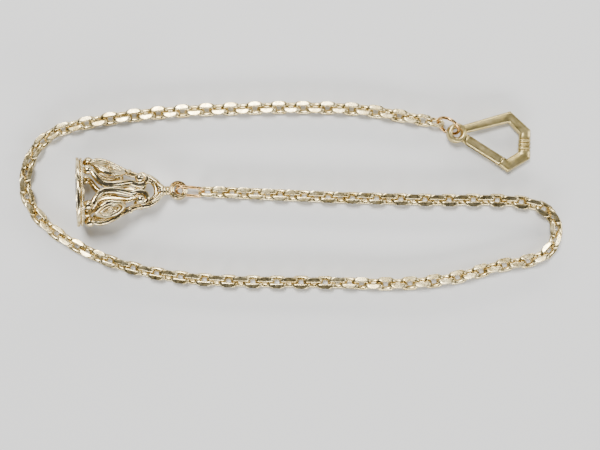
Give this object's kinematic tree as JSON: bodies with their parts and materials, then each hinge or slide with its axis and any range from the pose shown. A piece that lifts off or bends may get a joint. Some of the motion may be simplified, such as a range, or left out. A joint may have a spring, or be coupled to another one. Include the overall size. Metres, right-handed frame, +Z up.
{
  "type": "pocket watch chain",
  "caption": "Gold-coloured pocket watch chain laid out in an S: spring clip, jump ring, filed cable links, oval link and openwork scroll seal fob with a plain seal plate.",
  "frame": {"origin": "under the middle of the laid-out chain, on the table", "axes": "+X along the runs of the S, from the fob's end to the clip's end; +Y from the lower run to the upper run; +Z up from the table"},
  "size_m": [0.1298, 0.045, 0.0158],
  "materials": {
    "gold": "polished and filed, warm yellow gold fill",
    "clip_gold": "worn polish, slightly duller champagne gold",
    "ring_copper": "polished reddish gold wire",
    "steel": "plain spring steel"
  },
  "bodies": {
    "clip": {"clip_frame": "clip_gold", "clip_eye": "clip_gold", "gate_pin": "steel"},
    "gate": {"clip_gate": "clip_gold", "gate_spring": "steel"},
    "clip_ring": {"clip_ring": "ring_copper"},
    "chain_01": {"chain_01": "gold"},
    "chain_02": {"chain_02": "gold"},
    "chain_03": {"chain_03": "gold"},
    "chain_04": {"chain_04": "gold"},
    "chain_05": {"chain_05": "gold"},
    "chain_06": {"chain_06": "gold"},
    "chain_07": {"chain_07": "gold"},
    "chain_08": {"chain_08": "gold"},
    "chain_09": {"chain_09": "gold"},
    "chain_10": {"chain_10": "gold"},
    "chain_11": {"chain_11": "gold"},
    "chain_12": {"chain_12": "gold"},
    "chain_13": {"chain_13": "gold"},
    "chain_14": {"chain_14": "gold"},
    "chain_15": {"chain_15": "gold"},
    "chain_16": {"chain_16": "gold"},
    "chain_17": {"chain_17": "gold"},
    "chain_18": {"chain_18": "gold"},
    "chain_19": {"chain_19": "gold"},
    "chain_20": {"chain_20": "gold"},
    "chain_21": {"chain_21": "gold"},
    "chain_22": {"chain_22": "gold"},
    "chain_23": {"chain_23": "gold"},
    "chain_24": {"chain_24": "gold"},
    "chain_25": {"chain_25": "gold"},
    "chain_26": {"chain_26": "gold"},
    "chain_27": {"chain_27": "gold"},
    "chain_28": {"chain_28": "gold"},
    "chain_29": {"chain_29": "gold"},
    "chain_30": {"chain_30": "gold"},
    "chain_31": {"chain_31": "gold"},
    "chain_32": {"chain_32": "gold"},
    "chain_33": {"chain_33": "gold"},
    "chain_34": {"chain_34": "gold"},
    "chain_35": {"chain_35": "gold"},
    "chain_36": {"chain_36": "gold"},
    "chain_37": {"chain_37": "gold"},
    "chain_38": {"chain_38": "gold"},
    "chain_39": {"chain_39": "gold"},
    "fob_link": {"fob_link": "ring_copper"},
    "fob": {"seal_flange": "gold", "seal_plate": "gold", "bead_ring": "gold", "scroll_front": "gold", "scroll_back": "gold", "side_scroll_right": "gold", "side_scroll_left": "gold", "cartouche_front_right": "gold", "cartouche_front_left": "gold", "cartouche_back_right": "gold", "cartouche_back_left": "gold", "fob_yoke": "gold", "fob_neck": "gold", "fob_ring": "gold"}
  },
  "joints": [
    {"name": "gate_hinge", "type": "hinge", "parent": "clip", "child": "gate", "pos_m": [0.04241, 0.01304, 0.00223], "axis": [0.0819, 0, 0.9966], "range_deg": [0, 25], "stiffness_Nm_per_rad": 0.001, "springref_deg": -22.92},
    {"name": "clip_ring_swing", "type": "hinge", "parent": "clip", "child": "clip_ring", "pos_m": [0.03935, 0.01492, 0.00291], "axis": [0, 0, 1], "range_deg": [-60, 29]},
    {"name": "link_joint_01", "type": "hinge", "parent": "clip_ring", "child": "chain_01", "pos_m": [0.0358, 0.01737, 0.00139], "axis": [-0.1044, -0.6343, 0.766], "range_deg": [-23, 26]},
    {"name": "link_joint_02", "type": "hinge", "parent": "chain_01", "child": "chain_02", "pos_m": [0.02731, 0.01887, 0.00139], "axis": [0.1232, 0.6309, -0.766], "range_deg": [-26, 26]},
    {"name": "link_joint_03", "type": "hinge", "parent": "chain_02", "child": "chain_03", "pos_m": [0.01879, 0.02034, 0.00139], "axis": [-0.1117, -0.7579, -0.6428], "range_deg": [-26, 26]},
    {"name": "link_joint_04", "type": "hinge", "parent": "chain_03", "child": "chain_04", "pos_m": [0.01018, 0.02097, 0.00139], "axis": [0.0266, 0.6422, -0.766], "range_deg": [-26, 26]},
    {"name": "link_joint_05", "type": "hinge", "parent": "chain_04", "child": "chain_05", "pos_m": [0.00154, 0.02109, 0.00139], "axis": [-0.0074, -0.766, -0.6428], "range_deg": [-26, 26]},
    {"name": "link_joint_06", "type": "hinge", "parent": "chain_05", "child": "chain_06", "pos_m": [-0.00711, 0.02101, 0.00139], "axis": [-0.0158, 0.6426, -0.766], "range_deg": [-26, 26]},
    {"name": "link_joint_07", "type": "hinge", "parent": "chain_06", "child": "chain_07", "pos_m": [-0.01575, 0.02069, 0.00139], "axis": [-0.0242, 0.7657, 0.6428], "range_deg": [-26, 26]},
    {"name": "link_joint_08", "type": "hinge", "parent": "chain_07", "child": "chain_08", "pos_m": [-0.02439, 0.02033, 0.00139], "axis": [0.0356, -0.6418, 0.766], "range_deg": [-26, 26]},
    {"name": "link_joint_09", "type": "hinge", "parent": "chain_08", "child": "chain_09", "pos_m": [-0.03302, 0.01966, 0.00139], "axis": [-0.0678, 0.763, 0.6428], "range_deg": [-26, 26]},
    {"name": "link_joint_10", "type": "hinge", "parent": "chain_09", "child": "chain_10", "pos_m": [-0.0416, 0.01864, 0.00139], "axis": [-0.089, 0.6366, -0.766], "range_deg": [-26, 26]},
    {"name": "link_joint_11", "type": "hinge", "parent": "chain_10", "child": "chain_11", "pos_m": [-0.05007, 0.01711, 0.00139], "axis": [0.1482, -0.7282, -0.6691], "range_deg": [-26, 26]},
    {"name": "link_joint_12", "type": "hinge", "parent": "chain_11", "child": "chain_12", "pos_m": [-0.0581, 0.0141, 0.00139], "axis": [0.3677, -0.6458, 0.6691], "range_deg": [-26, 25]},
    {"name": "link_joint_13", "type": "hinge", "parent": "chain_12", "child": "chain_13", "pos_m": [-0.06278, 0.00701, 0.00152], "axis": [0.8629, -0.1871, 0.4695], "range_deg": [-26, 26]},
    {"name": "link_joint_14", "type": "hinge", "parent": "chain_13", "child": "chain_14", "pos_m": [-0.06243, -0.00143, 0.00154], "axis": [-0.8976, -0.2781, -0.342], "range_deg": [-26, 26]},
    {"name": "link_joint_15", "type": "hinge", "parent": "chain_14", "child": "chain_15", "pos_m": [-0.05699, -0.00802, 0.00153], "axis": [0.5387, 0.7378, 0.4067], "range_deg": [-26, 26]},
    {"name": "link_joint_16", "type": "hinge", "parent": "chain_15", "child": "chain_16", "pos_m": [-0.04971, -0.01264, 0.00152], "axis": [-0.4168, -0.7591, -0.5], "range_deg": [-26, 26]},
    {"name": "link_joint_17", "type": "hinge", "parent": "chain_16", "child": "chain_17", "pos_m": [-0.04175, -0.01598, 0.00139], "axis": [0.1809, 0.6168, 0.766], "range_deg": [-26, 26]},
    {"name": "link_joint_18", "type": "hinge", "parent": "chain_17", "child": "chain_18", "pos_m": [-0.03339, -0.01816, 0.0014], "axis": [0.1376, 0.621, 0.7716], "range_deg": [-26, 26]},
    {"name": "link_joint_19", "type": "hinge", "parent": "chain_18", "child": "chain_19", "pos_m": [-0.02488, -0.01952, 0.00141], "axis": [-0.0625, -0.6194, -0.7826], "range_deg": [-26, 26]},
    {"name": "link_joint_20", "type": "hinge", "parent": "chain_19", "child": "chain_20", "pos_m": [-0.01627, -0.02018, 0.00142], "axis": [-0.0315, -0.6149, -0.788], "range_deg": [-26, 21]},
    {"name": "link_joint_21", "type": "hinge", "parent": "chain_20", "child": "chain_21", "pos_m": [-0.00762, -0.02041, 0.00142], "axis": [0.0037, 0.6018, 0.7986], "range_deg": [-13, 26]},
    {"name": "link_joint_22", "type": "hinge", "parent": "chain_21", "child": "chain_22", "pos_m": [0.00102, -0.02052, 0.00146], "axis": [-0.0004, -0.5736, -0.8191], "range_deg": [-26, 9]},
    {"name": "link_joint_23", "type": "hinge", "parent": "chain_22", "child": "chain_23", "pos_m": [0.00967, -0.02061, 0.00146], "axis": [0.0399, 0.6896, 0.7231], "range_deg": [-9, 26]},
    {"name": "link_joint_24", "type": "hinge", "parent": "chain_23", "child": "chain_24", "pos_m": [0.01832, -0.02091, 0.00148], "axis": [0.0288, 0.8119, 0.5831], "range_deg": [-26, 26]},
    {"name": "link_joint_25", "type": "hinge", "parent": "chain_24", "child": "chain_25", "pos_m": [0.02693, -0.02088, 0.00152], "axis": [0.0473, -0.908, -0.4163], "range_deg": [-26, 26]},
    {"name": "link_joint_26", "type": "hinge", "parent": "chain_25", "child": "chain_26", "pos_m": [0.03552, -0.02011, 0.00152], "axis": [-0.1123, 0.9052, 0.4099], "range_deg": [-26, 26]},
    {"name": "link_joint_27", "type": "hinge", "parent": "chain_26", "child": "chain_27", "pos_m": [0.04396, -0.01826, 0.00153], "axis": [-0.2462, 0.8841, 0.3971], "range_deg": [-26, 26]},
    {"name": "link_joint_28", "type": "hinge", "parent": "chain_27", "child": "chain_28", "pos_m": [0.05234, -0.01615, 0.00153], "axis": [0.1814, -0.9025, -0.3907], "range_deg": [-26, 26]},
    {"name": "link_joint_29", "type": "hinge", "parent": "chain_28", "child": "chain_29", "pos_m": [0.06061, -0.01399, 0.00152], "axis": [0.6707, -0.6021, -0.4331], "range_deg": [-19, 7]},
    {"name": "link_joint_30", "type": "hinge", "parent": "chain_29", "child": "chain_30", "pos_m": [0.06318, -0.00626, 0.00151], "axis": [0.8883, 0.0699, -0.454], "range_deg": [-3, 26]},
    {"name": "link_joint_31", "type": "hinge", "parent": "chain_30", "child": "chain_31", "pos_m": [0.05641, -0.00161, 0.00149], "axis": [0.1161, 0.4707, 0.8746], "range_deg": [-3, 26]},
    {"name": "link_joint_32", "type": "hinge", "parent": "chain_31", "child": "chain_32", "pos_m": [0.04782, -0.00095, 0.00148], "axis": [0.0222, 0.8569, -0.515], "range_deg": [-3, 26]},
    {"name": "link_joint_33", "type": "hinge", "parent": "chain_32", "child": "chain_33", "pos_m": [0.03919, -0.00094, 0.00146], "axis": [-0.0076, 0.5519, 0.8339], "range_deg": [-3, 26]},
    {"name": "link_joint_34", "type": "hinge", "parent": "chain_33", "child": "chain_34", "pos_m": [0.03056, -0.00084, 0.00144], "axis": [0.0126, 0.5994, 0.8004], "range_deg": [-5, 26]},
    {"name": "link_joint_35", "type": "hinge", "parent": "chain_34", "child": "chain_35", "pos_m": [0.02191, -0.0006, 0.00141], "axis": [-0.0115, -0.6224, -0.7826], "range_deg": [-26, 5]},
    {"name": "link_joint_36", "type": "hinge", "parent": "chain_35", "child": "chain_36", "pos_m": [0.01327, -0.00038, 0.00139], "axis": [0.0188, 0.6598, 0.7512], "range_deg": [-7, 26]},
    {"name": "link_joint_37", "type": "hinge", "parent": "chain_36", "child": "chain_37", "pos_m": [0.00462, -0.00004, 0.00137], "axis": [0.0273, 0.6676, 0.744], "range_deg": [-9, 26]},
    {"name": "link_joint_38", "type": "hinge", "parent": "chain_37", "child": "chain_38", "pos_m": [-0.00399, 0.00034, 0.00136], "axis": [0.0283, 0.6834, 0.7295], "range_deg": [-11, 26]},
    {"name": "link_joint_39", "type": "hinge", "parent": "chain_38", "child": "chain_39", "pos_m": [-0.0126, 0.00072, 0.00134], "axis": [-0.0273, -0.6912, -0.7221], "range_deg": [-26, 15]},
    {"name": "fob_link_swing", "type": "hinge", "parent": "chain_39", "child": "fob_link", "pos_m": [-0.02123, 0.00107, 0.00133], "axis": [0.0299, 0.7103, -0.7033], "range_deg": [-13, 25]},
    {"name": "fob_swing", "type": "hinge", "parent": "fob_link", "child": "fob", "pos_m": [-0.02678, 0.00132, 0.00231], "axis": [-0.2348, -0.1626, -0.9583], "range_deg": [-21, 21]}
  ]
}
